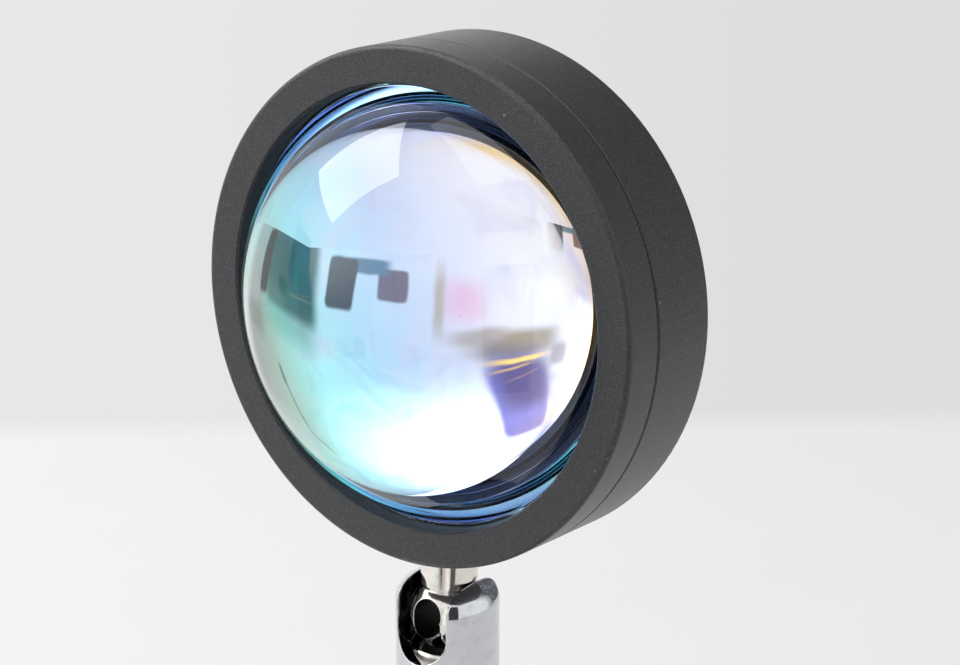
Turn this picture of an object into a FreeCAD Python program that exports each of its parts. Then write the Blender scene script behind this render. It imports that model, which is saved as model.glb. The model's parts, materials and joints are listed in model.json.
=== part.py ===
"""Sunset projection lamp: a glass-domed drum head on a ball swivel, a stem and a weighted base.

Units are millimetres and +Z is up.  The origin is the centre of the underside of the base.
The lamp shines towards -Y.  The head is drawn upright over the swivel ball and then nodded back.
Each piece is one solid, written to parts/ under its own name.
"""
import FreeCAD, Part
import math
import os

Vec = FreeCAD.Vector

# ---------------------------------------------------------------- driving dimensions
# Head.  Depths are measured back from the front face of the bezel.
HEAD_RADIUS = 45.0
HEAD_DEPTH = 24.0
PARTING_DEPTH = 8.3          # middle of the groove between bezel and housing
PARTING_GAP = 0.3
OPENING_RADIUS = 38.5
LIP_THICKNESS = 3.6
FACE_ROUNDING = 0.9
REAR_ROUNDING = 1.3
WALL = 2.4
BACK_WALL = 2.3

# Lens: a thick dome with a ground edge.
DOME_RADIUS = 41.5
DOME_PROUD = 21.0
DOME_RIM_RADIUS = 38.0
LENS_RADIUS = 40.0
LENS_EDGE_DEPTH = 4.2
LENS_BACK_DEPTH = 8.6
FILTER_RADIUS = 39.4
FILTER_THICKNESS = 0.3
APERTURE_RADIUS = 34.0

# Ball swivel.
BALL_RADIUS = 6.8
NECK_RADIUS = 5.15
NECK_BOTTOM = 5.6            # above the ball's centre; a narrower root joins neck and ball
ROOT_RADIUS = 4.6
THREAD_RADIUS = 4.95         # M10 x 1 thread, drawn plain
WIRE_BORE_RADIUS = 3.0
WIRE_SLOT_RISE = 9.0         # degrees that the ball's wire slot climbs above its middle
SWIVEL_RADIUS = 9.35
SWIVEL_TOP = 7.0             # above the ball's centre
SWIVEL_BOTTOM = -22.0
SHOULDER_ROUNDING = 4.4
SLOT_WIDTH = 10.9
SLOT_FLOOR_CENTRE = -1.5     # centre of the slot's round floor, from the ball's centre
BALL_BORE_RADIUS = 6.95
RUNNING_GAP = 0.06

# Where the head sits.
BALL_HEIGHT = 160.0
DRUM_ABOVE_BALL = 59.0       # drum axis above the ball, along the stud
STUD_DEPTH = 15.0            # stud axis behind the bezel's face
NOD_BACK = 4.2               # degrees

# Stem and base.
STEM_RADIUS = 6.35
STEM_WALL = 0.8
BASE_RADIUS = 52.5
BASE_HEIGHT = 12.0
COVER_WALL = 1.1
BASE_ROUNDING = 3.0
PAD_THICKNESS = 1.5

BALL_CENTRE = Vec(0, 0, BALL_HEIGHT)
FIT_GAP = 0.05
LEAST_ROUNDING = 0.6         # a smaller edge break is a plain bevel


# ---------------------------------------------------------------- shape helpers
def rounded_wire(corners):
    """Closed outline in the XY plane through (x, y) or (x, y, edge break) corners.

    A break is an arc of that radius, or a bevel as wide where it is under LEAST_ROUNDING.
    """
    points = [Vec(c[0], c[1], 0) for c in corners]
    breaks = [c[2] if len(c) > 2 else 0.0 for c in corners]
    count = len(points)
    starts, ends, edges = [], [], []
    for i, corner in enumerate(points):
        back = (points[i - 1] - corner).normalize()
        ahead = (points[(i + 1) % count] - corner).normalize()
        half = back.getAngle(ahead) / 2
        rounded = breaks[i] >= LEAST_ROUNDING
        reach = breaks[i] / math.tan(half) if rounded else breaks[i]
        starts.append(corner + back * reach)
        ends.append(corner + ahead * reach)
        if rounded:
            middle = (back + ahead).normalize()
            top = corner + middle * (breaks[i] / math.sin(half) - breaks[i])
            edges.append(Part.Arc(starts[i], top, ends[i]).toShape())
        elif breaks[i] > 0:
            edges.append(Part.LineSegment(starts[i], ends[i]).toShape())
    for i in range(count):
        edges.append(Part.LineSegment(ends[i], starts[(i + 1) % count]).toShape())
    return Part.Wire(Part.__sortEdges__(edges))


def turned_about_y(corners):
    """Turned piece of the drum: corners are (radius, depth, rounding), depth running along +Y."""
    face = Part.Face(rounded_wire(corners))
    return face.revolve(Vec(0, 0, 0), Vec(0, 1, 0), 360)


def turned_about_z(corners):
    """Turned upright piece: corners are (radius, height, rounding)."""
    face = Part.Face(rounded_wire(corners))
    face.rotate(Vec(0, 0, 0), Vec(1, 0, 0), 90)
    return face.revolve(Vec(0, 0, 0), Vec(0, 0, 1), 360)


def disc_about_y(radius, front, back):
    return Part.makeCylinder(radius, back - front, Vec(0, front, 0), Vec(0, 1, 0))


def hex_prism(across_flats, thickness, hole_radius):
    """Hexagon nut standing on z = 0, with two corners on the X axis."""
    corner = across_flats / 2 / math.cos(math.pi / 6)
    points = [Vec(corner * math.cos(k * math.pi / 3), corner * math.sin(k * math.pi / 3), 0)
              for k in range(7)]
    body = Part.Face(Part.makePolygon(points)).extrude(Vec(0, 0, thickness))
    chamfer = thickness * 0.3
    cone = Part.makeCone(corner + thickness - chamfer, corner - chamfer, thickness)
    body = body.common(cone)
    return body.cut(Part.makeCylinder(hole_radius, thickness))


def ball_frame(shape):
    """Move an upright swivel piece drawn about the ball's centre to its height."""
    shape.translate(BALL_CENTRE)
    return shape


def drum_frame(shape):
    """Seat a drum piece, drawn with its face at depth 0, over the ball and nod it back."""
    shape.translate(BALL_CENTRE + Vec(0, -STUD_DEPTH, DRUM_ABOVE_BALL))
    shape.rotate(BALL_CENTRE, Vec(1, 0, 0), -NOD_BACK)
    return shape


def stud_frame(shape):
    """Seat a piece drawn along the stud from the ball's centre and nod it back."""
    shape.translate(BALL_CENTRE)
    shape.rotate(BALL_CENTRE, Vec(1, 0, 0), -NOD_BACK)
    return shape


# ---------------------------------------------------------------- head
SPIGOT_RADIUS = 42.7                                   # screw spigot of the housing
SPIGOT_BORE = LENS_RADIUS + 0.4
SPIGOT_FRONT = 4.6
HOUSING_FRONT = PARTING_DEPTH + PARTING_GAP / 2
BEZEL_BACK = PARTING_DEPTH - PARTING_GAP / 2
CAVITY_RADIUS = HEAD_RADIUS - WALL
BACK_INSIDE = HEAD_DEPTH - BACK_WALL
FILTER_BACK = LENS_BACK_DEPTH + FILTER_THICKNESS
FRAME_FRONT = FILTER_BACK + FIT_GAP
FRAME_BACK = 11.2
BOARD_SEAT = BACK_INSIDE - 0.6
PAD_FRONT = BOARD_SEAT - 0.5
BOARD_FRONT = PAD_FRONT - 1.6
BOARD_RADIUS = 22.0
SCREW_CIRCLE = 14.0
SCREW_COUNT = 2
HOLDER_FLANGE_FRONT = BOARD_FRONT - 1.2
RIB_COUNT = 6
RIB_WIDTH = 4.0
RIB_RADIUS = 38.6
SHOULDER_HEIGHT = DRUM_ABOVE_BALL - HEAD_RADIUS        # where the stud's neck meets the drum
BOSS_TOP = SHOULDER_HEIGHT + WALL + 2.1                # flat for the lock nut, along the stud
BOSS_HALF_WIDTH = 8.0
LOCK_WASHER = 0.8
LOCK_NUT = 2.5


def bezel_ring():
    return drum_frame(turned_about_y([
        (OPENING_RADIUS, 0, 0.35),
        (HEAD_RADIUS, 0, FACE_ROUNDING),
        (HEAD_RADIUS, BEZEL_BACK, 0.25),
        (SPIGOT_RADIUS + 0.1, BEZEL_BACK),
        (SPIGOT_RADIUS + 0.1, LIP_THICKNESS),
        (OPENING_RADIUS, LIP_THICKNESS)]))


def screw_places(radius):
    """Evenly spaced places on a circle about the drum's axis, the first one at the top."""
    for k in range(SCREW_COUNT):
        angle = math.pi / 2 + k * 2 * math.pi / SCREW_COUNT
        yield Vec(radius * math.cos(angle), 0, radius * math.sin(angle))


def rear_housing():
    """Cup with a screw spigot, ribs that carry the filter frame and a flat boss for the stud."""
    cup = turned_about_y([
        (0, HEAD_DEPTH - 0.6),
        (33.0, HEAD_DEPTH - 0.6),
        (33.6, HEAD_DEPTH),
        (HEAD_RADIUS, HEAD_DEPTH, REAR_ROUNDING),
        (HEAD_RADIUS, HOUSING_FRONT, 0.25),
        (SPIGOT_RADIUS, HOUSING_FRONT),
        (SPIGOT_RADIUS, SPIGOT_FRONT, 0.3),
        (SPIGOT_BORE, SPIGOT_FRONT),
        (SPIGOT_BORE, LENS_BACK_DEPTH + 0.4),
        (CAVITY_RADIUS, LENS_BACK_DEPTH + 0.4 + CAVITY_RADIUS - SPIGOT_BORE),
        (CAVITY_RADIUS, BACK_INSIDE),
        (BOARD_RADIUS + 1, BACK_INSIDE),
        (BOARD_RADIUS + 1, BOARD_SEAT),
        (0, BOARD_SEAT)])
    rib = Part.makeBox(CAVITY_RADIUS + 0.6 - RIB_RADIUS, BACK_INSIDE + 0.5 - FRAME_BACK, RIB_WIDTH,
                       Vec(RIB_RADIUS, FRAME_BACK + FIT_GAP, -RIB_WIDTH / 2))
    for k in range(RIB_COUNT):
        turned = rib.copy()
        turned.rotate(Vec(0, 0, 0), Vec(0, 1, 0), k * 360 / RIB_COUNT)
        cup = cup.fuse(turned)
    stud_bottom = -DRUM_ABOVE_BALL + SHOULDER_HEIGHT
    boss_front = LENS_BACK_DEPTH + 0.4
    boss = Part.makeBox(2 * BOSS_HALF_WIDTH, BACK_INSIDE + 0.5 - boss_front,
                        BOSS_TOP - SHOULDER_HEIGHT - 0.8,
                        Vec(-BOSS_HALF_WIDTH, boss_front, stud_bottom + 0.8))
    cup = cup.fuse(boss)
    hole = Part.makeCylinder(THREAD_RADIUS + FIT_GAP, 10,
                             Vec(0, STUD_DEPTH, stud_bottom - 2))
    spot_face = Part.makeCylinder(NECK_RADIUS + 0.15, 2.35,
                                  Vec(0, STUD_DEPTH, stud_bottom - 2))
    cup = cup.cut(hole).cut(spot_face)
    for place in screw_places(SCREW_CIRCLE):
        cup = cup.cut(Part.makeCylinder(1.15, 1.9, place + Vec(0, BOARD_SEAT, 0), Vec(0, 1, 0)))
    return drum_frame(cup.removeSplitter())


def lens():
    """Dome of glass: spherical front, stepped rim, ground edge and flat back."""
    centre = DOME_RADIUS - DOME_PROUD
    rim_depth = centre - math.sqrt(DOME_RADIUS ** 2 - DOME_RIM_RADIUS ** 2)
    half = math.asin(DOME_RIM_RADIUS / DOME_RADIUS) / 2
    apex = Vec(0, -DOME_PROUD, 0)
    middle = Vec(DOME_RADIUS * math.sin(half), centre - DOME_RADIUS * math.cos(half), 0)
    rim = Vec(DOME_RIM_RADIUS, rim_depth, 0)
    outline = [rim, Vec(DOME_RIM_RADIUS, LENS_EDGE_DEPTH, 0), Vec(LENS_RADIUS, LENS_EDGE_DEPTH, 0),
               Vec(LENS_RADIUS, LENS_BACK_DEPTH - 0.4, 0), Vec(LENS_RADIUS - 0.4, LENS_BACK_DEPTH, 0),
               Vec(0, LENS_BACK_DEPTH, 0), apex]
    edges = [Part.Arc(apex, middle, rim).toShape()]
    for here, there in zip(outline, outline[1:]):
        edges.append(Part.LineSegment(here, there).toShape())
    face = Part.Face(Part.Wire(edges))
    return drum_frame(face.revolve(Vec(0, 0, 0), Vec(0, 1, 0), 360))


def lens_gasket():
    return drum_frame(turned_about_y([
        (DOME_RIM_RADIUS + 0.5, LIP_THICKNESS),
        (SPIGOT_BORE - 0.1, LIP_THICKNESS),
        (SPIGOT_BORE - 0.1, LENS_EDGE_DEPTH),
        (DOME_RIM_RADIUS + 0.5, LENS_EDGE_DEPTH)]))


def nut_notch():
    """Room at the bottom of the drum for the stud's lock nut."""
    return Part.makeBox(17, 40, 20, Vec(-8.5, 0, -36.2 - 20))


def filter_frame():
    """Ring on the housing's ribs that carries filter and lens, notched over the lock nut."""
    ring = turned_about_y([
        (APERTURE_RADIUS, FRAME_FRONT),
        (LENS_RADIUS, FRAME_FRONT),
        (LENS_RADIUS, FRAME_BACK),
        (APERTURE_RADIUS, FRAME_BACK)])
    return drum_frame(ring.cut(nut_notch()))


def color_filter():
    """Coated disc cemented to the flat back of the lens."""
    return drum_frame(disc_about_y(FILTER_RADIUS, LENS_BACK_DEPTH, FILTER_BACK))


def light_shroud():
    """Black cone between the filter's frame and the LED board."""
    front = FRAME_BACK + FIT_GAP
    back = BOARD_FRONT
    rim = APERTURE_RADIUS + 1.5
    foot = SCREW_CIRCLE + 3.6
    return drum_frame(turned_about_y([
        (rim - 2.4, front),
        (rim, front),
        (rim, front + 1.2),
        (foot + 1.6, back),
        (foot, back)]))


def condenser_holder():
    """Ring over the emitter with a rebate for the small lens and a flange for its screws."""
    front = BOARD_FRONT - 4.6
    ring = turned_about_y([
        (7.2, front),
        (9.0, front, 0.3),
        (9.0, HOLDER_FLANGE_FRONT),
        (16.8, HOLDER_FLANGE_FRONT),
        (16.8, BOARD_FRONT),
        (6.2, BOARD_FRONT),
        (6.2, front + 2.6),
        (7.2, front + 2.6)])
    for place in screw_places(SCREW_CIRCLE):
        ring = ring.cut(Part.makeCylinder(1.35, 3, place + Vec(0, BOARD_FRONT - 2, 0), Vec(0, 1, 0)))
    return drum_frame(ring)


def condenser_lens():
    """Small plano-convex lens in the holder's rebate."""
    seat = BOARD_FRONT - 4.6 + 2.6 - FIT_GAP
    edge = seat - 1.4
    radius = 7.1
    rise = 3.0
    apex = Vec(0, edge - rise, 0)
    sphere = (radius ** 2 + rise ** 2) / 2 / rise
    half = math.asin(radius / sphere) / 2
    middle = Vec(sphere * math.sin(half), edge - rise + sphere * (1 - math.cos(half)), 0)
    rim = Vec(radius, edge, 0)
    outline = [rim, Vec(radius, seat, 0), Vec(0, seat, 0), apex]
    edges = [Part.Arc(apex, middle, rim).toShape()]
    for here, there in zip(outline, outline[1:]):
        edges.append(Part.LineSegment(here, there).toShape())
    return drum_frame(Part.Face(Part.Wire(edges)).revolve(Vec(0, 0, 0), Vec(0, 1, 0), 360))


def led_board():
    board = disc_about_y(BOARD_RADIUS, BOARD_FRONT, PAD_FRONT)
    for place in screw_places(SCREW_CIRCLE):
        board = board.cut(Part.makeCylinder(1.35, 3, place + Vec(0, BOARD_FRONT - 1, 0), Vec(0, 1, 0)))
    return drum_frame(board)


def led_emitter():
    """Square chip carrier with a low round phosphor dome."""
    carrier = Part.makeBox(7, 0.6, 7, Vec(-3.5, BOARD_FRONT - 0.6, -3.5))
    return drum_frame(carrier.fuse(disc_about_y(2.6, BOARD_FRONT - 1.0, BOARD_FRONT - 0.6)))


def thermal_pad():
    pad = disc_about_y(BOARD_RADIUS - 1.5, PAD_FRONT, BOARD_SEAT)
    for place in screw_places(SCREW_CIRCLE):
        pad = pad.cut(Part.makeCylinder(1.5, 3, place + Vec(0, PAD_FRONT - 1, 0), Vec(0, 1, 0)))
    return drum_frame(pad)


def board_screws():
    """Pan-head screws through holder, board and pad into the housing."""
    screws = []
    for place in screw_places(SCREW_CIRCLE):
        head = Part.makeCylinder(2.1, 1.4, place + Vec(0, HOLDER_FLANGE_FRONT - 1.4, 0), Vec(0, 1, 0))
        shank = Part.makeCylinder(1.1, BOARD_SEAT + 1.7 - HOLDER_FLANGE_FRONT,
                                  place + Vec(0, HOLDER_FLANGE_FRONT, 0), Vec(0, 1, 0))
        slot = Part.makeBox(5, 0.6, 0.5, place + Vec(-2.5, HOLDER_FLANGE_FRONT - 1.4, -0.25))
        screws.append(head.fuse(shank).cut(slot))
    return drum_frame(Part.makeCompound(screws))


def stud_lock_washer():
    washer = Part.makeCylinder(5.8, LOCK_WASHER, Vec(0, 0, BOSS_TOP))
    washer = washer.cut(Part.makeCylinder(THREAD_RADIUS + FIT_GAP, 5, Vec(0, 0, BOSS_TOP - 1)))
    return stud_frame(washer)


def stud_lock_nut():
    nut = hex_prism(12.0, LOCK_NUT, THREAD_RADIUS + FIT_GAP)
    nut.translate(Vec(0, 0, BOSS_TOP + LOCK_WASHER))
    return stud_frame(nut)


# ---------------------------------------------------------------- ball swivel
def wire_slot():
    """Round-ended slot from the ball's front, under it, to its back: wires pass at any tilt."""
    reach = BALL_RADIUS + 1
    rise = math.radians(WIRE_SLOT_RISE)
    slot = Part.makeBox(2 * WIRE_BORE_RADIUS, 2 * reach, reach,
                        Vec(-WIRE_BORE_RADIUS, -reach, -reach))
    for side in (-1, 1):
        end = Part.makeCylinder(WIRE_BORE_RADIUS, reach, Vec(0, 0, 0),
                                Vec(0, side * math.cos(rise), math.sin(rise)))
        slot = slot.fuse(end)
    return slot


def ball_stud():
    """Hollow stud: ball, root, plain neck, shoulder under the drum and a threaded end."""
    top = BOSS_TOP + LOCK_WASHER + LOCK_NUT + 0.5
    shoulder = SHOULDER_HEIGHT + 0.35
    ball = Part.makeSphere(BALL_RADIUS)
    neck = turned_about_z([
        (0, 0),
        (ROOT_RADIUS, 0),
        (ROOT_RADIUS, NECK_BOTTOM),
        (NECK_RADIUS, NECK_BOTTOM, 0.15),
        (NECK_RADIUS, shoulder),
        (THREAD_RADIUS, shoulder),
        (THREAD_RADIUS, top, 0.5),
        (0, top)])
    stud = ball.fuse(neck)
    bore = Part.makeCylinder(WIRE_BORE_RADIUS, top + 2 * BALL_RADIUS, Vec(0, 0, -BALL_RADIUS))
    return stud_frame(stud.cut(bore).cut(wire_slot()))


SEAT_TOP = -5.6
SEAT_BOTTOM = -9.5
SEAT_ROUNDING = 0.8
SPRING_HEIGHT = 1.05
PLUG_TOP = SEAT_BOTTOM - 2 * SPRING_HEIGHT
PLUG_BOTTOM = -20.0
ROD_TOP = PLUG_TOP - 2.0
STEM_TOP = BALL_HEIGHT + PLUG_BOTTOM


def swivel_body():
    """Turned body with a spherical seat, a bore from below and a through slot for the neck."""
    outside = turned_about_z([
        (0, SWIVEL_BOTTOM),
        (SWIVEL_RADIUS, SWIVEL_BOTTOM, 0.5),
        (SWIVEL_RADIUS, SWIVEL_TOP, SHOULDER_ROUNDING),
        (0, SWIVEL_TOP)])
    pocket = Part.makeSphere(BALL_RADIUS + RUNNING_GAP)
    bore = Part.makeCylinder(BALL_BORE_RADIUS, -SWIVEL_BOTTOM, Vec(0, 0, SWIVEL_BOTTOM))
    reach = 3 * SWIVEL_RADIUS
    half = SLOT_WIDTH / 2
    slot = Part.makeCylinder(half, reach, Vec(0, -reach / 2, SLOT_FLOOR_CENTRE), Vec(0, 1, 0))
    slot = slot.fuse(Part.makeBox(SLOT_WIDTH, reach, reach,
                                  Vec(-half, -reach / 2, SLOT_FLOOR_CENTRE)))
    return ball_frame(outside.cut(pocket.fuse(bore)).cut(slot))


def ball_seat():
    """Cup that the springs push up under the ball."""
    cup = turned_about_z([
        (2.9, SEAT_BOTTOM),
        (BALL_BORE_RADIUS - FIT_GAP, SEAT_BOTTOM),
        (BALL_BORE_RADIUS - FIT_GAP, SEAT_TOP, SEAT_ROUNDING),
        (2.9, SEAT_TOP)])
    return ball_frame(cup.cut(Part.makeSphere(BALL_RADIUS + FIT_GAP)))


def disc_springs():
    """Two cone washers set rim to rim between seat and plug."""
    thick = 0.5
    lower = turned_about_z([
        (3.6, 0),
        (3.6, thick),
        (6.6, SPRING_HEIGHT),
        (6.6, SPRING_HEIGHT - thick)])
    upper = lower.mirror(Vec(0, 0, SPRING_HEIGHT), Vec(0, 0, 1))
    both = Part.makeCompound([lower, upper])
    both.translate(Vec(0, 0, PLUG_TOP))
    return ball_frame(both)


def tension_plug():
    """Threaded bush in the body's bore; the stem's rod screws into it from below."""
    return ball_frame(turned_about_z([
        (3.5, PLUG_TOP),
        (BALL_BORE_RADIUS - FIT_GAP, PLUG_TOP),
        (BALL_BORE_RADIUS - FIT_GAP, PLUG_BOTTOM, 0.3),
        (THREAD_RADIUS + FIT_GAP, PLUG_BOTTOM),
        (THREAD_RADIUS + FIT_GAP, ROD_TOP + FIT_GAP),
        (3.5, ROD_TOP + FIT_GAP)]))


# ---------------------------------------------------------------- stem and base
WEIGHT_RADIUS = BASE_RADIUS - COVER_WALL - 0.2
COVER_UNDERSIDE = BASE_HEIGHT - COVER_WALL
WEIGHT_BEVEL = 2.0
RECESS_RADIUS = 13.0
RECESS_TOP = 7.9
WASHER = 1.0
BASE_NUT = 2.2
CHANNEL_WIDTH = 7.0
INLET_HEIGHT = 5.6
INLET_RADIUS = 1.8
INLET_HOLE = 2.6


def stem_tube():
    return turned_about_z([
        (STEM_RADIUS - STEM_WALL, BASE_HEIGHT),
        (STEM_RADIUS, BASE_HEIGHT, 0.2),
        (STEM_RADIUS, STEM_TOP, 0.2),
        (STEM_RADIUS - STEM_WALL, STEM_TOP)])


def stem_rod():
    """Threaded tube that pulls the base, the stem and the swivel together."""
    bottom = RECESS_TOP - WASHER - BASE_NUT - 0.4
    top = BALL_HEIGHT + ROD_TOP
    rod = Part.makeCylinder(THREAD_RADIUS, top - bottom, Vec(0, 0, bottom))
    return rod.cut(Part.makeCylinder(WIRE_BORE_RADIUS + 0.8, top - bottom + 2, Vec(0, 0, bottom - 1)))


def base_cover():
    """Spun cover: flat top with a centre hole, rounded edge and a hole at the back for the cord."""
    inside_bevel = COVER_WALL * 1.5
    cover = turned_about_z([
        (THREAD_RADIUS + FIT_GAP, COVER_UNDERSIDE),
        (BASE_RADIUS - COVER_WALL - inside_bevel, COVER_UNDERSIDE),
        (BASE_RADIUS - COVER_WALL, COVER_UNDERSIDE - inside_bevel),
        (BASE_RADIUS - COVER_WALL, PAD_THICKNESS),
        (BASE_RADIUS, PAD_THICKNESS, 0.3),
        (BASE_RADIUS, BASE_HEIGHT, BASE_ROUNDING),
        (THREAD_RADIUS + FIT_GAP, BASE_HEIGHT)])
    hole = Part.makeCylinder(INLET_HOLE, 8, Vec(0, BASE_RADIUS - 4, INLET_HEIGHT), Vec(0, 1, 0))
    return cover.cut(hole)


def base_weight():
    """Iron disc with a recess for the nut and a channel to the cord's inlet."""
    disc = turned_about_z([
        (THREAD_RADIUS + 0.3, PAD_THICKNESS),
        (WEIGHT_RADIUS, PAD_THICKNESS),
        (WEIGHT_RADIUS, COVER_UNDERSIDE - WEIGHT_BEVEL),
        (WEIGHT_RADIUS - WEIGHT_BEVEL, COVER_UNDERSIDE),
        (THREAD_RADIUS + 0.3, COVER_UNDERSIDE)])
    recess = Part.makeCylinder(RECESS_RADIUS, RECESS_TOP, Vec(0, 0, 0))
    channel = Part.makeBox(CHANNEL_WIDTH, WEIGHT_RADIUS, RECESS_TOP,
                           Vec(-CHANNEL_WIDTH / 2, RECESS_RADIUS - 2, 0))
    grommet_room = Part.makeCylinder(INLET_HOLE + 1.4, 4,
                                     Vec(0, WEIGHT_RADIUS - 3, INLET_HEIGHT), Vec(0, 1, 0))
    return disc.cut(recess).cut(channel).cut(grommet_room)


def base_washer():
    ring = Part.makeCylinder(10.0, WASHER, Vec(0, 0, RECESS_TOP - WASHER))
    return ring.cut(Part.makeCylinder(THREAD_RADIUS + FIT_GAP, 5, Vec(0, 0, RECESS_TOP - 3)))


def base_nut():
    nut = hex_prism(14.0, BASE_NUT, THREAD_RADIUS + FIT_GAP)
    nut.rotate(Vec(0, 0, BASE_NUT / 2), Vec(1, 0, 0), 180)
    nut.translate(Vec(0, 0, RECESS_TOP - WASHER - BASE_NUT))
    return nut


def base_pad():
    """Foam sheet glued under the base; the lamp stands on it."""
    return turned_about_z([
        (0, 0),
        (BASE_RADIUS - 0.6, 0, 0.4),
        (BASE_RADIUS - 0.6, PAD_THICKNESS),
        (0, PAD_THICKNESS)])


def cable_grommet():
    """Rubber bush in the cover's wall: a rounded outer flange, a neck in the hole, an inner flange."""
    outer = BASE_RADIUS + 1.3
    inner = BASE_RADIUS - COVER_WALL - 1.2
    bush = turned_about_y([
        (INLET_RADIUS, inner),
        (INLET_HOLE + 0.8, inner, 0.3),
        (INLET_HOLE + 0.8, BASE_RADIUS - COVER_WALL - 0.2),
        (INLET_HOLE - 0.02, BASE_RADIUS - COVER_WALL - 0.2),
        (INLET_HOLE - 0.02, BASE_RADIUS + 0.02),
        (INLET_HOLE + 0.8, BASE_RADIUS + 0.02),
        (INLET_HOLE + 0.8, outer, 0.5),
        (INLET_RADIUS, outer, 0.2)])
    bush.translate(Vec(0, 0, INLET_HEIGHT))
    return bush


PIECES = [
    bezel_ring, rear_housing, lens, lens_gasket, filter_frame, color_filter, light_shroud,
    condenser_holder, condenser_lens, led_board, led_emitter, thermal_pad, board_screws,
    stud_lock_washer, stud_lock_nut, ball_stud, swivel_body, ball_seat, disc_springs,
    tension_plug, stem_tube, stem_rod, base_cover, base_weight, base_washer, base_nut,
    base_pad, cable_grommet,
]

os.makedirs("parts", exist_ok=True)
for make in PIECES:
    solid = make()
    if not solid.isValid():
        raise ValueError(make.__name__ + " is not a valid solid")
    solid.exportStep("parts/" + make.__name__ + ".step")
    print(make.__name__, len(solid.Solids), round(solid.Volume / 1000, 2), "cm3")
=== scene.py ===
"""Looks of the sunset projection lamp: finishes, the coated glass dome, floor, lights and camera."""

import json
import math

import bpy
from mathutils import Matrix, Vector


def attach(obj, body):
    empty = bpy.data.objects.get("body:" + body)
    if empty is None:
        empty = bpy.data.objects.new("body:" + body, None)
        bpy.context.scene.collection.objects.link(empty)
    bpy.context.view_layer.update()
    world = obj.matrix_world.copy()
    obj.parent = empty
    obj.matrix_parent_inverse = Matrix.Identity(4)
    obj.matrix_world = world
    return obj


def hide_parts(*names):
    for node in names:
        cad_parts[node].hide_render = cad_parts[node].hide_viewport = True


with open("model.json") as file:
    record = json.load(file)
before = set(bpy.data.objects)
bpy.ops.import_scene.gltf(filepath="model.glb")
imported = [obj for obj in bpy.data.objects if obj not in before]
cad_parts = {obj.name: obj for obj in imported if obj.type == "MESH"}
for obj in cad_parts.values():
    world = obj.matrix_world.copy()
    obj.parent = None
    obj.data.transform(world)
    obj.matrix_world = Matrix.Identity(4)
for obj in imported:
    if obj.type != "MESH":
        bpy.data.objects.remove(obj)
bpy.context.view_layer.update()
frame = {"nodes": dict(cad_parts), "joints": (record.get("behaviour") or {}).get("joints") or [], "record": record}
CAD_NODES = frame["nodes"]

MM = 0.001
joints = {joint["name"]: joint for joint in frame["joints"]}
BALL = Vector(joints["head_tilt"]["pos_m"])
HEAD_UP = Vector(joints["head_spin"]["axis"]).normalized()
RIGHT = Vector(joints["head_tilt"]["axis"]).normalized()
HEAD_BACK = RIGHT.cross(HEAD_UP) * -1

# Sizes shared with the solids, in metres. Depths run back from the bezel's face.
STUD_DEPTH = 15 * MM
DRUM_ABOVE_BALL = 59 * MM
DOME_RADIUS = 41.5 * MM
DOME_PROUD = 21.0 * MM
DOME_RIM_RADIUS = 38.0 * MM
DOME_STEPS = 72
LENS_RADIUS = 40.0 * MM
LENS_EDGE_DEPTH = 4.2 * MM
LENS_BACK_DEPTH = 8.6 * MM
LENS_CHAMFER = 0.4 * MM
FILTER_RADIUS = 39.4 * MM
FILTER_THICKNESS = 0.3 * MM
BALL_RADIUS = 6.8 * MM
SWIVEL_RADIUS = 9.35 * MM
SLOT_WIDTH = 10.9 * MM
COATING_STEP = 0.02 * MM
FACE_CENTRE = BALL - HEAD_BACK * STUD_DEPTH + HEAD_UP * DRUM_ABOVE_BALL


# ---------------------------------------------------------------- meshes
def drum_place(radius, angle, depth):
    """Point of the head at that radius and angle about the drum's axis and that depth."""
    return (FACE_CENTRE + HEAD_BACK * depth
            + RIGHT * (radius * math.cos(angle)) + HEAD_UP * (radius * math.sin(angle)))


def new_piece(name, points, faces, material, smooth=True):
    mesh = bpy.data.meshes.new(name)
    mesh.from_pydata(points, [], faces)
    mesh.validate()
    mesh.update()
    piece = bpy.data.objects.new(name, mesh)
    bpy.context.scene.collection.objects.link(piece)
    mesh.materials.append(material)
    if smooth:
        mesh.shade_smooth()
        mesh.set_sharp_from_angle(angle=math.radians(30))
    return piece


def turned_drum_piece(name, outline, material, segments=192):
    """Closed turned piece of the drum from (radius, depth) points; radius 0 makes one centre point."""
    points, rings = [], []
    for radius, depth in outline:
        if radius == 0:
            rings.append([len(points)] * segments)
            points.append(drum_place(0, 0, depth))
            continue
        rings.append(list(range(len(points), len(points) + segments)))
        for k in range(segments):
            points.append(drum_place(radius, 2 * math.pi * k / segments, depth))
    faces = []
    for here, there in zip(rings, rings[1:]):
        for k in range(segments):
            nxt = (k + 1) % segments
            corners = []
            for corner in (here[k], there[k], there[nxt], here[nxt]):
                if corner not in corners:
                    corners.append(corner)
            if len(corners) > 2:
                faces.append(corners)
    return new_piece(name, points, faces, material)


# ---------------------------------------------------------------- shader helpers
def add_node(tree, kind, inputs=None, **settings):
    """One shader node; each input is given a value or another node's output."""
    made = tree.nodes.new(kind)
    made.location = (220 * (len(tree.nodes) % 8), -260 * (len(tree.nodes) // 8))
    for name, value in settings.items():
        setattr(made, name, value)
    for name, value in (inputs or {}).items():
        socket = made.inputs[name]
        if isinstance(value, bpy.types.NodeSocket):
            tree.links.new(value, socket)
        else:
            socket.default_value = value
    return made


def shaded(colour, share=1.0):
    """Colour with its alpha, darker or lighter by that share."""
    return (*[min(1.0, part * share) for part in colour], 1.0)


def maths(tree, operation, first, second=0.0, third=0.0, clamp=False):
    made = add_node(tree, "ShaderNodeMath", {0: first, 1: second, 2: third},
                    operation=operation, use_clamp=clamp)
    return made.outputs[0]


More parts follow.
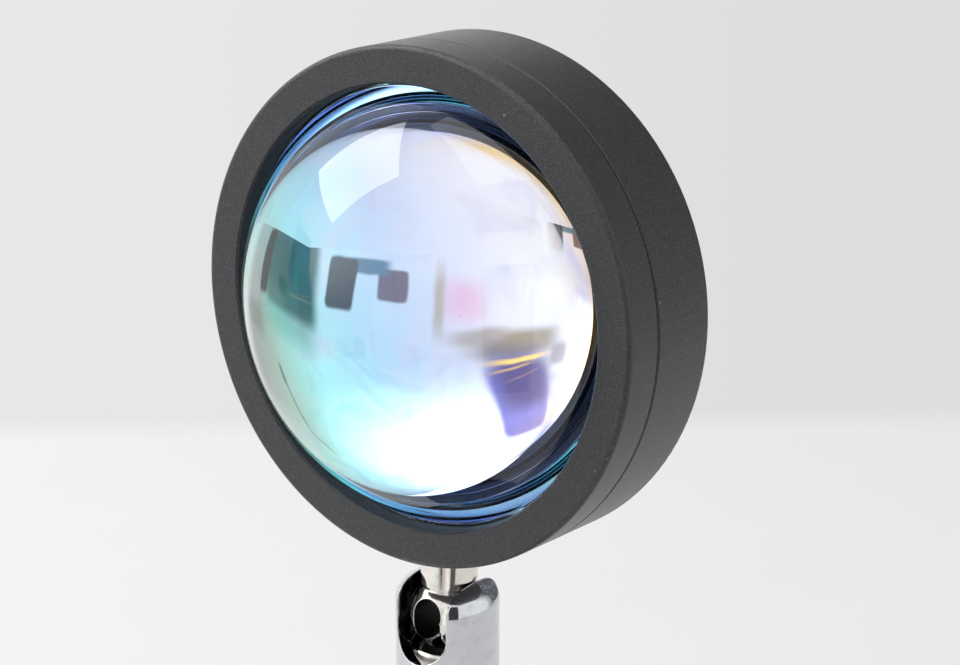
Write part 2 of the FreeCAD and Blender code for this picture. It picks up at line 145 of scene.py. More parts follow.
def mix_values(tree, factor, first, second):
    made = add_node(tree, "ShaderNodeMix", {0: factor, 2: first, 3: second}, data_type="FLOAT")
    return made.outputs[0]


def mix_colours(tree, factor, first, second, blend_type="MIX"):
    made = add_node(tree, "ShaderNodeMix", {0: factor, 6: first, 7: second},
                    data_type="RGBA", blend_type=blend_type)
    return made.outputs[2]


def noise(tree, place, scale, detail=2.0, roughness=0.5):
    made = add_node(tree, "ShaderNodeTexNoise",
                    {"Vector": place, "Scale": scale, "Detail": detail, "Roughness": roughness})
    return made.outputs["Fac"]


def between(tree, value, low, high):
    """0 below low, 1 above high."""
    made = add_node(tree, "ShaderNodeMapRange", {"Value": value, "From Min": low, "From Max": high})
    return made.outputs["Result"]


def new_group(name, inputs, outputs):
    """Shader node group; returns its tree, its input sockets and its output node."""
    tree = bpy.data.node_groups.new(name, "ShaderNodeTree")
    for label, default in inputs.items():
        kind = "NodeSocketVector" if default is None else "NodeSocketFloat"
        socket = tree.interface.new_socket(label, in_out="INPUT", socket_type=kind)
        if default is not None:
            socket.default_value = default
    for label in outputs:
        tree.interface.new_socket(label, in_out="OUTPUT", socket_type="NodeSocketFloat")
    return tree, tree.nodes.new("NodeGroupInput").outputs, tree.nodes.new("NodeGroupOutput")


def use_group(tree, group, **inputs):
    return add_node(tree, "ShaderNodeGroup",
                    {name.replace("_", " "): value for name, value in inputs.items()},
                    node_tree=group).outputs


# ---------------------------------------------------------------- effects
def paint_grain_group():
    """Fine sprayed grain: its height, specks where glints are painted, and a slow change of tone."""
    tree, given, put = new_group("paint_grain", {"Place": None, "Grain": 3200.0, "Speck share": 0.3},
                                 ["Height", "Glints", "Tone"])
    fine = noise(tree, given["Place"], given["Grain"], 3.0, 0.6)
    cells = add_node(tree, "ShaderNodeTexVoronoi", {"Vector": given["Place"], "Scale": given["Grain"]})
    bumps = maths(tree, "MULTIPLY", cells.outputs["Distance"], -0.6)
    tree.links.new(maths(tree, "ADD", fine, bumps), put.inputs["Height"])
    picked = maths(tree, "SUBTRACT", 1.0, given["Speck share"])
    chance = add_node(tree, "ShaderNodeSeparateColor", {"Color": cells.outputs["Color"]})
    speck = between(tree, chance.outputs[0], picked, 1.0)
    core = between(tree, cells.outputs["Distance"], 0.45, 0.15)
    tree.links.new(maths(tree, "MULTIPLY", speck, core), put.inputs["Glints"])
    tree.links.new(noise(tree, given["Place"], 60.0, 3.0), put.inputs["Tone"])
    return tree


def dust_group():
    """Sparse specks of dust and lint."""
    tree, given, put = new_group("dust", {"Place": None, "Spacing": 260.0, "Share": 0.12}, ["Mask"])
    bend = add_node(tree, "ShaderNodeTexNoise", {"Vector": given["Place"], "Scale": 500.0})
    strength = add_node(tree, "ShaderNodeVectorMath",
                        {0: bend.outputs["Color"], 3: 0.0016}, operation="SCALE")
    moved = add_node(tree, "ShaderNodeVectorMath", {0: given["Place"], 1: strength.outputs[0]})
    cells = add_node(tree, "ShaderNodeTexVoronoi",
                     {"Vector": moved.outputs[0], "Scale": given["Spacing"]})
    chance = add_node(tree, "ShaderNodeSeparateColor", {"Color": cells.outputs["Color"]})
    kept = maths(tree, "LESS_THAN", chance.outputs[1], given["Share"])
    core = between(tree, cells.outputs["Distance"], 0.075, 0.03)
    tree.links.new(maths(tree, "MULTIPLY", kept, core), put.inputs["Mask"])
    return tree


def polish_group():
    """Traces of polishing: slow waves, fine hairlines and patches of haze."""
    tree, given, put = new_group("polish", {"Place": None, "Waves": 120.0, "Hairlines": 900.0},
                                 ["Waves", "Hairlines", "Haze"])
    tree.links.new(noise(tree, given["Place"], given["Waves"], 1.0), put.inputs["Waves"])
    stretched = add_node(tree, "ShaderNodeMapping", {"Vector": given["Place"],
                                                     "Rotation": (0.4, 0.9, 0.3),
                                                     "Scale": (1.0, 0.06, 0.5)})
    lines = noise(tree, stretched.outputs[0], given["Hairlines"], 2.0, 0.7)
    tree.links.new(between(tree, lines, 0.52, 0.8), put.inputs["Hairlines"])
    tree.links.new(between(tree, noise(tree, given["Place"], 90.0, 4.0, 0.6), 0.42, 0.75),
                   put.inputs["Haze"])
    return tree


def clouds_group():
    """Uneven coating: its thickness against the average, and wisps of haze."""
    tree, given, put = new_group("clouds", {"Place": None}, ["Thickness", "Haze"])
    slow = noise(tree, given["Place"], 70.0, 2.0)
    thickness = add_node(tree, "ShaderNodeMapRange", {"Value": slow, "From Min": 0.3, "From Max": 0.7,
                                                      "To Min": 0.95, "To Max": 1.05})
    tree.links.new(thickness.outputs["Result"], put.inputs["Thickness"])
    swirl = add_node(tree, "ShaderNodeTexNoise",
                     {"Vector": given["Place"], "Scale": 95.0, "Detail": 4.0, "Distortion": 0.8})
    wisps = between(tree, swirl.outputs["Fac"], 0.5, 0.72)
    tree.links.new(maths(tree, "MULTIPLY", wisps, 0.6), put.inputs["Haze"])
    return tree


PAINT_GRAIN = paint_grain_group()
CLOUDS = clouds_group()
DUST = dust_group()
POLISH = polish_group()


# ---------------------------------------------------------------- finishes
def new_finish(name, colour, roughness, metallic=0.0):
    """Material with its Principled shader and the place on the piece, in metres."""
    material = bpy.data.materials.new(name)
    material.use_nodes = True
    tree = material.node_tree
    shader = tree.nodes["Principled BSDF"]
    shader.inputs["Base Color"].default_value = (*colour, 1.0)
    shader.inputs["Roughness"].default_value = roughness
    shader.inputs["Metallic"].default_value = metallic
    place = add_node(tree, "ShaderNodeTexCoord").outputs["Object"]
    return material, tree, shader, place


def raise_surface(tree, shader, height, depth, strength=1.0):
    """Bump from a height between 0 and 1 that stands for that depth in metres."""
    bump = add_node(tree, "ShaderNodeBump",
                    {"Height": height, "Distance": depth, "Strength": strength})
    tree.links.new(bump.outputs["Normal"], shader.inputs["Normal"])
    return bump


DUST_COLOUR = (0.24, 0.24, 0.235)


def textured_paint(name, dark, light, roughness, grain=4600.0, depth=0.00006):
    """Sprayed black paint with a fine grain and a little dust; painted shade darkens the grain's low spots and
    pale specks are painted glints.
    """
    material, tree, shader, place = new_finish(name, dark, roughness)
    effect = use_group(tree, PAINT_GRAIN, Place=place, Grain=grain, Speck_share=0.35)
    dust = use_group(tree, DUST, Place=place)["Mask"]
    tone = mix_colours(tree, effect["Tone"], shaded(dark, 0.86), shaded(dark, 1.14))
    # painted shade: the grain's low spots are drawn darker, down to 0.4 of the paint's colour
    raised = between(tree, effect["Height"], -0.15, 0.55)
    pit_shaded_grain = mix_colours(tree, raised, shaded(dark, 0.4), tone)
    # painted glints: pale specks in the colour stand for the paint's sparkle
    specks = maths(tree, "MULTIPLY", effect["Glints"], 0.8)
    with_painted_glints = mix_colours(tree, specks, pit_shaded_grain, shaded(light))
    dusty = mix_colours(tree, dust, with_painted_glints, shaded(DUST_COLOUR))
    tree.links.new(dusty, shader.inputs["Base Color"])
    tree.links.new(mix_values(tree, effect["Tone"], roughness - 0.05, roughness + 0.05),
                   shader.inputs["Roughness"])
    raise_surface(tree, shader, effect["Height"], depth)
    return material


def softened_edges(tree, radius):
    """Normal that rounds every sharp edge over that many metres, as plating and polishing do."""
    return add_node(tree, "ShaderNodeBevel", {"Radius": radius}, samples=6).outputs["Normal"]


def polished_metal(name, colour, smooth, hazy, wave_depth=0.00001):
    material, tree, shader, place = new_finish(name, colour, smooth, 1.0)
    effect = use_group(tree, POLISH, Place=place)
    marks = maths(tree, "MAXIMUM", effect["Haze"], maths(tree, "MULTIPLY", effect["Hairlines"], 0.7))
    tree.links.new(mix_values(tree, marks, smooth, hazy), shader.inputs["Roughness"])
    specks = use_group(tree, DUST, Place=place, Spacing=650.0, Share=0.2)["Mask"]
    worn = maths(tree, "MULTIPLY", effect["Haze"], 0.35)
    worn = maths(tree, "MULTIPLY_ADD", effect["Hairlines"], 0.6, worn)
    worn = maths(tree, "MAXIMUM", worn, specks, clamp=True)
    tree.links.new(mix_colours(tree, worn, shaded(colour), shaded(colour, 0.72)),
                   shader.inputs["Base Color"])
    bump = raise_surface(tree, shader, effect["Waves"], wave_depth)
    tree.links.new(softened_edges(tree, 0.0004), bump.inputs["Normal"])
    return material


def chrome_with_painted_slot_shade(name, colour):
    """Chrome with painted shade: drawn near black in the body's slot and bore."""
    material = polished_metal(name, colour, 0.03, 0.1)
    tree = material.node_tree
    shader = tree.nodes["Principled BSDF"]
    place = add_node(tree, "ShaderNodeTexCoord").outputs["Object"]
    parts = add_node(tree, "ShaderNodeSeparateXYZ", {"Vector": place}).outputs
    flat = add_node(tree, "ShaderNodeCombineXYZ", {"X": parts["X"], "Y": parts["Y"]}).outputs[0]
    reach = add_node(tree, "ShaderNodeVectorMath", {0: flat}, operation="LENGTH").outputs["Value"]
    within = between(tree, reach, SWIVEL_RADIUS - 0.1 * MM, SWIVEL_RADIUS - 0.6 * MM)
    in_slot = between(tree, maths(tree, "ABSOLUTE", parts["X"]), SLOT_WIDTH / 2 + 0.12 * MM,
                      SLOT_WIDTH / 2 + 0.04 * MM)
    in_bore = maths(tree, "MULTIPLY", maths(tree, "LESS_THAN", parts["Z"], BALL.z),
                    between(tree, reach, BALL_RADIUS + 0.4 * MM, BALL_RADIUS + 0.2 * MM))
    # painted shade: the inner walls of the slot and the bore below the ball are drawn near black
    painted_recess_shade = maths(tree, "MAXIMUM", maths(tree, "MULTIPLY", within, in_slot), in_bore)
    plated = shader.inputs["Base Color"].links[0].from_socket
    tree.links.new(mix_colours(tree, painted_recess_shade, plated, (0.09, 0.09, 0.092, 1.0)),
                   shader.inputs["Base Color"])
    return material


def nickel_with_painted_bore_shade(name, colour):
    """Polished nickel with painted shade: its wire bore inside the ball is drawn near black and rougher."""
    material = polished_metal(name, colour, 0.08, 0.2)
    tree = material.node_tree
    shader = tree.nodes["Principled BSDF"]
    place = add_node(tree, "ShaderNodeTexCoord").outputs["Object"]
    from_ball = add_node(tree, "ShaderNodeVectorMath", {0: place, 1: BALL}, operation="DISTANCE")
    inside = between(tree, from_ball.outputs["Value"], BALL_RADIUS - 0.05 * MM, BALL_RADIUS - 0.3 * MM)
    plated = shader.inputs["Base Color"].links[0].from_socket
    # painted shade: the bore inside the ball is drawn near black
    tree.links.new(mix_colours(tree, inside, plated, (0.02, 0.02, 0.022, 1.0)), shader.inputs["Base Color"])
    smooth = shader.inputs["Roughness"].links[0].from_socket
    tree.links.new(mix_values(tree, inside, smooth, 0.45), shader.inputs["Roughness"])
    return material


def satin_metal(name, colour, roughness):
    material, tree, shader, place = new_finish(name, colour, roughness, 1.0)
    effect = use_group(tree, POLISH, Place=place, Waves=400.0, Hairlines=2600.0)
    tree.links.new(mix_values(tree, effect["Hairlines"], roughness - 0.08, roughness + 0.12),
                   shader.inputs["Roughness"])
    tree.links.new(mix_colours(tree, effect["Haze"], shaded(colour), shaded(colour, 0.8)),
                   shader.inputs["Base Color"])
    raise_surface(tree, shader, effect["Hairlines"], 0.00001)
    return material


def moulded(name, colour, roughness, grain=1800.0):
    """Plastic, rubber or foam: an even colour with a moulded grain and a slow change of tone."""
    material, tree, shader, place = new_finish(name, colour, roughness)
    effect = use_group(tree, PAINT_GRAIN, Place=place, Grain=grain, Speck_share=0.1)
    tree.links.new(mix_colours(tree, effect["Tone"], shaded(colour, 0.85), shaded(colour, 1.12)),
                   shader.inputs["Base Color"])
    tree.links.new(mix_values(tree, effect["Tone"], roughness - 0.06, roughness + 0.06),
                   shader.inputs["Roughness"])
    raise_surface(tree, shader, effect["Height"], 0.000015)
    return material


def rough_cast(name, colour):
    material, tree, shader, place = new_finish(name, colour, 0.8)
    coarse = noise(tree, place, 450.0, 5.0, 0.65)
    tree.links.new(mix_colours(tree, coarse, shaded(colour, 0.6), shaded(colour, 1.4)),
                   shader.inputs["Base Color"])
    raise_surface(tree, shader, coarse, 0.0003)
    return material


def clear_glass(name, tint):
    """Polished glass with a few fine specks of dust."""
    material, tree, shader, place = new_finish(name, tint, 0.0)
    dust = use_group(tree, DUST, Place=place, Spacing=420.0)["Mask"]
    tree.links.new(mix_colours(tree, dust, shaded(tint), (0.72, 0.73, 0.74, 1.0)),
                   shader.inputs["Base Color"])
    shader.inputs["Transmission Weight"].default_value = 1.0
    shader.inputs["IOR"].default_value = 1.5
    return material


# Reflected colour at a slant in degrees.
COATING_COLOURS = [
    (6, (0.60, 0.65, 0.61)),
    (14, (0.50, 0.72, 0.60)),
    (20, (0.42, 0.85, 0.76)),
    (25, (0.42, 0.90, 0.97)),
    (30, (0.44, 0.78, 1.00)),
    (34, (0.56, 0.73, 1.00)),
    (37, (0.71, 0.79, 1.00)),
    (40, (0.86, 0.87, 1.00)),
    (44, (0.97, 0.96, 1.00)),
    (49, (0.95, 0.70, 0.32)),
    (54, (0.52, 0.66, 1.00)),
    (62, (0.34, 0.52, 1.00)),
    (70, (0.32, 0.56, 1.00)),
    (78, (0.45, 0.85, 0.92)),
]
COATING_HAZE = (0.68, 0.69, 0.90, 1.0)


def interference_coating(name):
    """Mirror coating on the lens's back whose colour runs from mint to blue to violet with the slant."""
    material, tree, shader, place = new_finish(name, COATING_COLOURS[0][1], 0.0, 1.0)
    slant = add_node(tree, "ShaderNodeLayerWeight", {"Blend": 0.5}).outputs["Facing"]
    clouds = use_group(tree, CLOUDS, Place=place)
    shifted = maths(tree, "MULTIPLY", slant, clouds["Thickness"])
    ramp = add_node(tree, "ShaderNodeValToRGB", {"Fac": shifted})
    steps = ramp.color_ramp.elements
    while len(steps) < len(COATING_COLOURS):
        steps.new(0.5)
    for step, (degrees, colour) in zip(steps, COATING_COLOURS):
        step.position = 1 - math.cos(math.radians(degrees))
        step.color = (*colour, 1.0)
    hazed = mix_colours(tree, clouds["Haze"], ramp.outputs["Color"], COATING_HAZE)
    tree.links.new(hazed, shader.inputs["Base Color"])
    return material


FINISHES = {
    "head_paint": textured_paint("head_paint", (0.05, 0.051, 0.054), (0.22, 0.22, 0.225), 0.34),
    "stem_paint": textured_paint("stem_paint", (0.03, 0.031, 0.033), (0.09, 0.09, 0.092), 0.34,
                                 grain=5200.0, depth=0.00002),
    "base_paint": textured_paint("base_paint", (0.045, 0.046, 0.049), (0.18, 0.18, 0.185), 0.38),
    "lens_glass": clear_glass("lens_glass", (0.97, 0.985, 0.985)),
    "small_glass": clear_glass("small_glass", (0.97, 0.98, 0.98)),
    "filter_coating": interference_coating("filter_coating"),
    "rubber": moulded("rubber", (0.03, 0.03, 0.032), 0.7),
    "black_plastic": moulded("black_plastic", (0.022, 0.022, 0.024), 0.45),
    "white_plastic": moulded("white_plastic", (0.8, 0.8, 0.78), 0.4),
    "board_aluminium": satin_metal("board_aluminium", (0.8, 0.81, 0.82), 0.4),
    "led_phosphor": moulded("led_phosphor", (0.9, 0.72, 0.16), 0.35),
    "grey_silicone": moulded("grey_silicone", (0.4, 0.42, 0.44), 0.65),
    "zinc_steel": satin_metal("zinc_steel", (0.68, 0.68, 0.66), 0.32),
    "nickel": nickel_with_painted_bore_shade("nickel", (0.84, 0.81, 0.74)),
    "chrome": chrome_with_painted_slot_shade("chrome", (0.64, 0.65, 0.675)),
    "brass": satin_metal("brass", (0.78, 0.58, 0.28), 0.3),
    "spring_steel": satin_metal("spring_steel", (0.36, 0.38, 0.44), 0.35),
    "cast_iron": rough_cast("cast_iron", (0.1, 0.1, 0.1)),
    "foam_rubber": moulded("foam_rubber", (0.045, 0.045, 0.047), 0.9, 900.0),
}


def dress_solids():
    """Give each solid the finish of its slot in the record."""
    for subpart in frame["record"]["subparts"]:
        solid = CAD_NODES[subpart["node"]]
        solid.data.materials.clear()
        solid.data.materials.append(FINISHES[subpart["material_slot"]])


def glass_dome():
    """Finely divided dome with the lens's own outline: spherical front, rim, ground edge and flat back."""
    outline = []
    edge_angle = math.asin(DOME_RIM_RADIUS / DOME_RADIUS)
    for k in range(DOME_STEPS + 1):
        angle = edge_angle * k / DOME_STEPS
        outline.append((DOME_RADIUS * math.sin(angle), DOME_RADIUS * (1 - math.cos(angle)) - DOME_PROUD))
    outline += [(DOME_RIM_RADIUS, LENS_EDGE_DEPTH), (LENS_RADIUS, LENS_EDGE_DEPTH),
                (LENS_RADIUS, LENS_BACK_DEPTH - LENS_CHAMFER),
                (LENS_RADIUS - LENS_CHAMFER, LENS_BACK_DEPTH),
                (0, LENS_BACK_DEPTH)]
    dome = turned_drum_piece("glass_dome", outline, FINISHES["lens_glass"], segments=256)
    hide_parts("lens")
    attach(dome, "head")


def coated_back():
    """Coated disc whose front stands just inside the glass, so that no air lies between them."""
    front = LENS_BACK_DEPTH - COATING_STEP
    back = LENS_BACK_DEPTH + FILTER_THICKNESS
    disc = turned_drum_piece("coated_back", [
        (0, front), (FILTER_RADIUS, front), (FILTER_RADIUS, back), (0, back)],
        FINISHES["filter_coating"])
    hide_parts("color_filter")
    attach(disc, "head")


# ---------------------------------------------------------------- surroundings
VIEW_YAW = 36.9
VIEW_DROP = 20.0
FACE_IN_VIEW = Vector((-0.0122, 0.0035, 0.4411))   # right of, above and ahead of the camera
FOCAL_LENGTH = 98.25

yaw = math.radians(VIEW_YAW)
drop = math.radians(VIEW_DROP)
VIEW_RIGHT = Vector((math.cos(yaw), math.sin(yaw), 0))
VIEW_AHEAD = Vector((-math.sin(yaw) * math.cos(drop), math.cos(yaw) * math.cos(drop), -math.sin(drop)))
VIEW_UP = VIEW_RIGHT.cross(VIEW_AHEAD)


def place_camera():
    data = bpy.data.cameras.new("camera")
    data.lens = FOCAL_LENGTH
    data.sensor_width = 36
    data.clip_start = 0.01
    camera = bpy.data.objects.new("camera", data)
    bpy.context.scene.collection.objects.link(camera)
    turn = Matrix((VIEW_RIGHT, VIEW_UP, -VIEW_AHEAD)).transposed().to_4x4()
    spot = (FACE_CENTRE - VIEW_RIGHT * FACE_IN_VIEW.x - VIEW_UP * FACE_IN_VIEW.y
            - VIEW_AHEAD * FACE_IN_VIEW.z)
    camera.matrix_world = Matrix.Translation(spot) @ turn
    bpy.context.scene.camera = camera


def compass(bearing, height):
    """Unit vector: bearing in degrees from the front (-Y) towards +X, height above the horizon."""
    across, rise = math.radians(bearing), math.radians(height)
    return Vector((math.sin(across) * math.cos(rise), -math.cos(across) * math.cos(rise), math.sin(rise)))


# The wall that the camera sees, with painted shade: lighter on the left and darker on the right.
WALL_LEFT = (0.80, 0.80, 0.805, 1.0)
WALL_RIGHT = (0.735, 0.735, 0.74, 1.0)
WALL_CHANGE = (-0.1, 0.1)          # from the left shade to the right one, along VIEW_RIGHT

# The room seen in gloss and glass. Each change of shade runs between two values of a ray's direction.
BRIGHT_SIDE = (1.05, 1.05, 1.05, 1.0)
DIM_SIDE = (0.46, 0.45, 0.46, 1.0)
DIM_FROM_LEFT = (-0.3, 0.2)
HIGH_WALLS = (1.08, 1.08, 1.09, 1.0)
HIGH_FROM_BELOW = (0.3, 0.62)
HIGH_FROM_LEFT = (0.26, 0.42)
BEHIND = (0.14, 0.14, 0.143, 1.0)
BEHIND_FROM_FRONT = (-0.05, 0.35)
BEHIND_FROM_LEFT = (-0.62, -0.3)
BEHIND_FROM_RIGHT = (0.75, 0.45)
WALL_HAZE = (0.62, 0.66, 0.84, 1.0)
WALL_HAZE_SHARE = 0.32
SKY_LIGHT = (0.455, 0.455, 0.458, 1.0)     # the even light on matt surfaces
GLARE = (-47, 21, 20, 15)          # bearing, height, half width and half height in degrees
GLARE_STRENGTH = 2.0

# What stands about the room beyond the table, seen only in the glass and the polished metal.
# Bearing, height, half width, half height, turn (degrees), slant, squareness, softness, colour.
ROOM = [
    (-58, -14, 22, 6, 0, 0, 5, 0.4, (1.15, 1.15, 1.17)),
    (-30, -12, 16, 8, 0, 0, 4, 0.5, (1.05, 1.03, 1.03)),
    (13.5, -14, 5.0, 13, 0, 0, 6, 0.12, (0.66, 0.50, 0.56)),
    (13, -2, 7.0, 3.5, 0, 0, 4, 0.5, (0.34, 0.33, 0.34)),
    (-57, -7.6, 11, 2.2, 4, 0, 4, 0.5, (0.55, 0.46, 0.33)),
    (-47, -8.4, 5, 1.3, 8, 0, 3, 0.7, (0.68, 0.58, 0.50)),
    (-61.5, 6.0, 8.0, 8.8, 0, 0.6, 7, 0.15, (0.42, 0.38, 0.92)),
    (-59, 0.2, 7.6, 6.0, 0, 0.6, 4, 0.5, (0.20, 0.15, 0.34)),
    (-70, -4.6, 4.0, 2.2, 0, 0, 4, 0.4, (0.50, 0.45, 0.46)),
    (-56.5, -4.4, 6.2, 0.42, 5, 0, 3, 0.8, (1.7, 1.15, 0.3)),
    (-54.5, -2.8, 4.4, 0.25, 10, 0, 3, 0.8, (0.95, 0.62, 0.3)),
    (-58, -1.2, 4.0, 0.2, 14, 0, 3, 0.8, (0.5, 0.28, 0.28)),
    (-43.5, -14, 3.6, 3.2, 0, 0, 3, 0.7, (1.15, 0.78, 0.88)),
    (-39.3, -13.5, 0.8, 5.0, 0, 0, 4, 0.7, (0.80, 0.66, 0.52)),
    (-31, -15.2, 2.6, 2.6, 0, 0, 8, 0.12, (0.33, 0.24, 0.26)),
    (-26.5, -18, 3.4, 1.3, 0, 0, 6, 0.3, (0.24, 0.34, 0.40)),
    (-20.8, -14.6, 3.0, 4.6, 0, 0, 8, 0.1, (0.13, 0.13, 0.14)),
    (-5, -11.5, 9.6, 9.5, -8, 0.3, 5, 0.3, (0.42, 0.60, 0.56)),
    (-5, -15.5, 9.6, 8.6, -8, 0.3, 8, 0.14, (0.09, 0.20, 0.19)),
    (-1, -17.5, 6.0, 5.5, -14, 0.2, 6, 0.4, (0.04, 0.12, 0.10)),
    (6.6, -16.5, 2.4, 7.5, 4, 0, 8, 0.12, (0.02, 0.035, 0.03)),
    (-11, 26.5, 4.0, 0.45, -42, 0, 3, 0.6, (0.42, 0.48, 0.46)),
    (-5.4, 17, 8.0, 0.45, -74, 0, 3, 0.6, (0.34, 0.42, 0.40)),
    (-2.6, 8.5, 2.4, 0.6, -72, 0, 3, 0.5, (0.18, 0.26, 0.24)),
]


def room_patch_group():
    """Soft-edged patch of the room: 1 inside it and 0 outside, from an ellipse to a square by power."""
    tree, given, put = new_group("room_patch", {"Place": None, "Centre": None, "Across": None,
                                                "Rise": None, "Power": 4.0, "Softness": 0.2}, ["Mask"])
    reach = 0.0
    for side in ("Across", "Rise"):
        along = add_node(tree, "ShaderNodeVectorMath", {0: given["Place"], 1: given[side]},
                         operation="DOT_PRODUCT").outputs["Value"]
        part = maths(tree, "POWER", maths(tree, "ABSOLUTE", along), given["Power"])
        reach = maths(tree, "ADD", part, reach)
    reach = maths(tree, "POWER", reach, maths(tree, "DIVIDE", 1.0, given["Power"]))
    inner = maths(tree, "SUBTRACT", 1.0, given["Softness"])
    outer = maths(tree, "ADD", 1.0, given["Softness"])
    ahead = add_node(tree, "ShaderNodeVectorMath", {0: given["Place"], 1: given["Centre"]},
                     operation="DOT_PRODUCT").outputs["Value"]
    near = maths(tree, "GREATER_THAN", ahead, 0.0)
    soft = add_node(tree, "ShaderNodeMapRange",
                    {"Value": reach, "From Min": outer, "From Max": inner},
                    interpolation_type="SMOOTHSTEP").outputs["Result"]
    tree.links.new(maths(tree, "MULTIPLY", soft, near), put.inputs["Mask"])
    return tree


def room_patch(tree, group, towards, bearing, height, half_width, half_height,
               turn=0, slant=0, power=2, softness=0.7):
    centre = compass(bearing, height)
    across = Vector((math.cos(math.radians(bearing)), math.sin(math.radians(bearing)), 0))
    rise = across.cross(centre)
    if rise.z < 0:
        rise.negate()
    turned = math.radians(turn)
    side = across * math.cos(turned) + rise * math.sin(turned)
    up = rise * math.cos(turned) - across * math.sin(turned)
    side = (side + up * slant) / math.radians(half_width)
    up = up / math.radians(half_height)
    return use_group(tree, group, Place=towards, Centre=centre, Across=side, Rise=up,
                     Power=float(power), Softness=float(softness))["Mask"]


def room_walls(tree, towards):
    """Walls: bright on the left, dim on the right, bright high up, dark at the back, a little hazy."""
    parts = add_node(tree, "ShaderNodeSeparateXYZ", {"Vector": towards}).outputs
    room = mix_colours(tree, between(tree, parts["X"], *DIM_FROM_LEFT), BRIGHT_SIDE, DIM_SIDE)
    high = maths(tree, "MAXIMUM", between(tree, parts["Z"], *HIGH_FROM_BELOW),
                 between(tree, parts["X"], *HIGH_FROM_LEFT))
    room = mix_colours(tree, high, room, HIGH_WALLS)
    middle = maths(tree, "MULTIPLY", between(tree, parts["X"], *BEHIND_FROM_LEFT),
                   between(tree, parts["X"], *BEHIND_FROM_RIGHT))
    behind = maths(tree, "MULTIPLY", between(tree, parts["Y"], *BEHIND_FROM_FRONT), middle)
    room = mix_colours(tree, behind, room, BEHIND)
    streaks = add_node(tree, "ShaderNodeTexNoise",
                       {"Vector": towards, "Scale": 5.0, "Detail": 5.0, "Distortion": 1.2})
    hazy = maths(tree, "MULTIPLY", between(tree, streaks.outputs["Fac"], 0.5, 0.62), WALL_HAZE_SHARE)
    return mix_colours(tree, hazy, room, WALL_HAZE)


def light_world():
    """Pale room: even light on the object; gloss and glass show its windows, furniture and dim side."""
    world = bpy.data.worlds.new("pale_room")
    bpy.context.scene.world = world
    world.use_nodes = True
    tree = world.node_tree
    background = tree.nodes["Background"]
    towards = add_node(tree, "ShaderNodeTexCoord").outputs["Generated"]
    room = room_walls(tree, towards)
    uneven = add_node(tree, "ShaderNodeTexNoise", {"Vector": towards, "Scale": 9.0, "Detail": 3.0})
    shift = add_node(tree, "ShaderNodeVectorMath", {0: uneven.outputs["Color"], 3: 0.012},
                     operation="SCALE").outputs[0]
    bent = add_node(tree, "ShaderNodeVectorMath", {0: towards, 1: shift}).outputs[0]
    group = room_patch_group()
    glare = room_patch(tree, group, towards, *GLARE)
    lit = maths(tree, "MULTIPLY_ADD", glare, GLARE_STRENGTH, 1.0)
    room = add_node(tree, "ShaderNodeVectorMath", {0: room, 3: lit}, operation="SCALE").outputs[0]
    for *shape, colour in ROOM:
        room = mix_colours(tree, room_patch(tree, group, bent, *shape), room, (*colour, 1.0))
    # painted shade on the wall: lighter on the left, darker on the right
    wall = add_node(tree, "ShaderNodeVectorMath", {0: towards, 1: VIEW_RIGHT},
                    operation="DOT_PRODUCT").outputs["Value"]
    wall = mix_colours(tree, between(tree, wall, *WALL_CHANGE), WALL_LEFT, WALL_RIGHT)
    path = add_node(tree, "ShaderNodeLightPath").outputs
    mirrored = maths(tree, "MAXIMUM", path["Is Glossy Ray"], path["Is Transmission Ray"])
    shown = mix_colours(tree, mirrored, SKY_LIGHT, room)
    tree.links.new(mix_colours(tree, path["Is Camera Ray"], shown, wall), background.inputs["Color"])


# Table top: its corners beside and before the lamp by bearing and distance, its far edge, its turn.
TABLE_CORNERS = [(-75, 0.62), (-30, 0.62), (-13, 0.61), (34, 0.46), (80, 0.75)]
FLOOR_BEHIND = 0.485
FLOOR_FADE = 0.012
FLOOR_SIDE = 0.9
FLOOR_TURN = 2.2


def lay_floor():
    """Pale table top that fades into the wall's colour at its far edge."""
    material, tree, shader, place = new_finish("table_top", (0.9, 0.9, 0.905), 0.75)
    tree.links.new(mix_colours(tree, noise(tree, place, 14.0, 4.0), (0.885, 0.885, 0.89, 1.0),
                               (0.915, 0.915, 0.92, 1.0)), shader.inputs["Base Color"])
    raise_surface(tree, shader, noise(tree, place, 700.0, 3.0), 0.00005)
    along = add_node(tree, "ShaderNodeSeparateXYZ", {"Vector": place}).outputs["Y"]
    kept = between(tree, along, FLOOR_BEHIND + FLOOR_FADE, FLOOR_BEHIND - FLOOR_FADE)
    tree.links.new(kept, shader.inputs["Alpha"])
    turn = Matrix.Rotation(yaw + math.radians(FLOOR_TURN), 3, "Z")
    far = FLOOR_BEHIND + FLOOR_FADE
    corners = [Vector((-FLOOR_SIDE, far, 0))]
    corners += [turn.inverted() @ (compass(bearing, 0) * reach) for bearing, reach in TABLE_CORNERS]
    corners.append(Vector((FLOOR_SIDE, far, 0)))
    floor = new_piece("table_top", corners, [tuple(range(len(corners)))], material, smooth=False)
    floor.rotation_euler.z = yaw + math.radians(FLOOR_TURN)


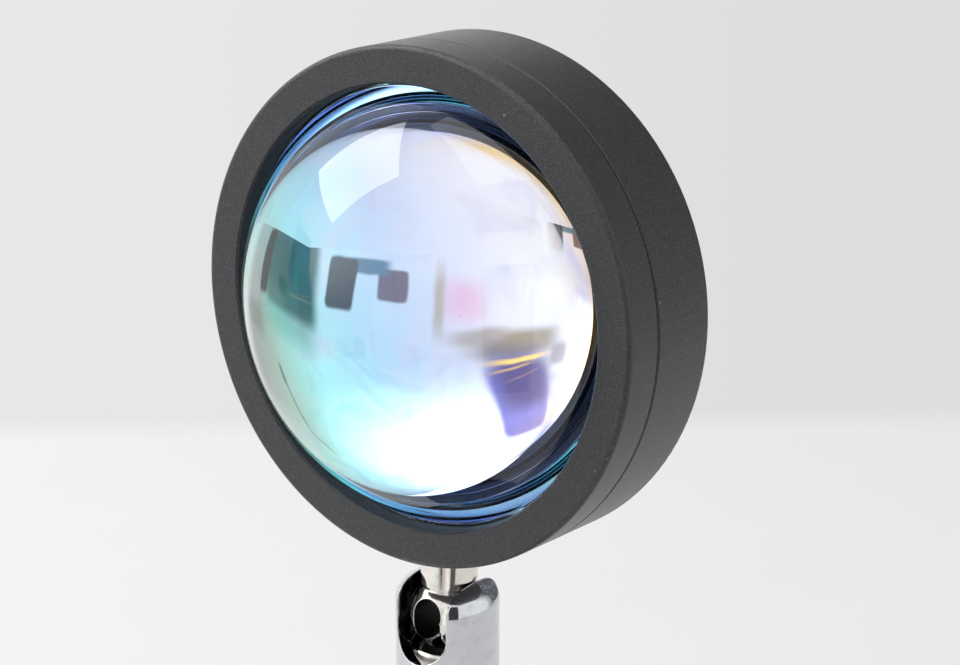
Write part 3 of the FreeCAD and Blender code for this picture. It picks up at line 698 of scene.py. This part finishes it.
def area_light(name, direction, distance, width, height, strength):
    data = bpy.data.lights.new(name, "AREA")
    data.shape = "RECTANGLE"
    data.size = width
    data.size_y = height
    data.energy = strength
    lamp = bpy.data.objects.new(name, data)
    bpy.context.scene.collection.objects.link(lamp)
    lamp.location = FACE_CENTRE + direction * distance
    lamp.rotation_euler = direction.to_track_quat("Z", "Y").to_euler()
    return lamp


def set_lights():
    area_light("key_softbox", compass(-69, 43), distance=1.5, width=0.84, height=0.90, strength=11.5)
    front = area_light("front_panel", compass(-42, 17), distance=1.6, width=1.0, height=0.96, strength=3.4)
    front.visible_glossy = False
    front.visible_transmission = False
    area_light("overhead_softbox", compass(150, 78), distance=1.6, width=1.3, height=1.3, strength=6.9)


# Dark cards beside the camera, seen only in the polished metal and the glass:
# bearing, height, width and height of the card in degrees from the ball, and its shade.
DARK_CARDS = [
    (50, 9, 22, 58, 0.06),
]
CARD_DISTANCE = 0.3


def stand_dark_cards():
    for number, (bearing, height, width, tall, shade) in enumerate(DARK_CARDS, 1):
        material = new_finish("dark_card_%d" % number, (shade, shade, shade), 0.9)[0]
        direction = compass(bearing, height)
        across = direction.cross(Vector((0, 0, 1))).normalized()
        rise = across.cross(direction)
        centre = BALL + direction * CARD_DISTANCE
        half_width = math.tan(math.radians(width / 2)) * CARD_DISTANCE
        half_height = math.tan(math.radians(tall / 2)) * CARD_DISTANCE
        corners = [centre + across * (half_width * i) + rise * (half_height * j)
                   for i, j in ((-1, -1), (1, -1), (1, 1), (-1, 1))]
        card = new_piece("dark_card_%d" % number, corners, [(0, 1, 2, 3)], material, smooth=False)
        card.visible_camera = False
        card.visible_diffuse = False
        card.visible_shadow = False


def let_light_through_glass():
    """Enough bounces for light that crosses the dome several times."""
    cycles = bpy.context.scene.cycles
    cycles.max_bounces = 24
    cycles.glossy_bounces = 16
    cycles.transmission_bounces = 24


dress_solids()
glass_dome()
coated_back()
place_camera()
light_world()
lay_floor()
set_lights()
stand_dark_cards()
let_light_through_glass()
bpy.context.scene.view_settings.view_transform = "Standard"
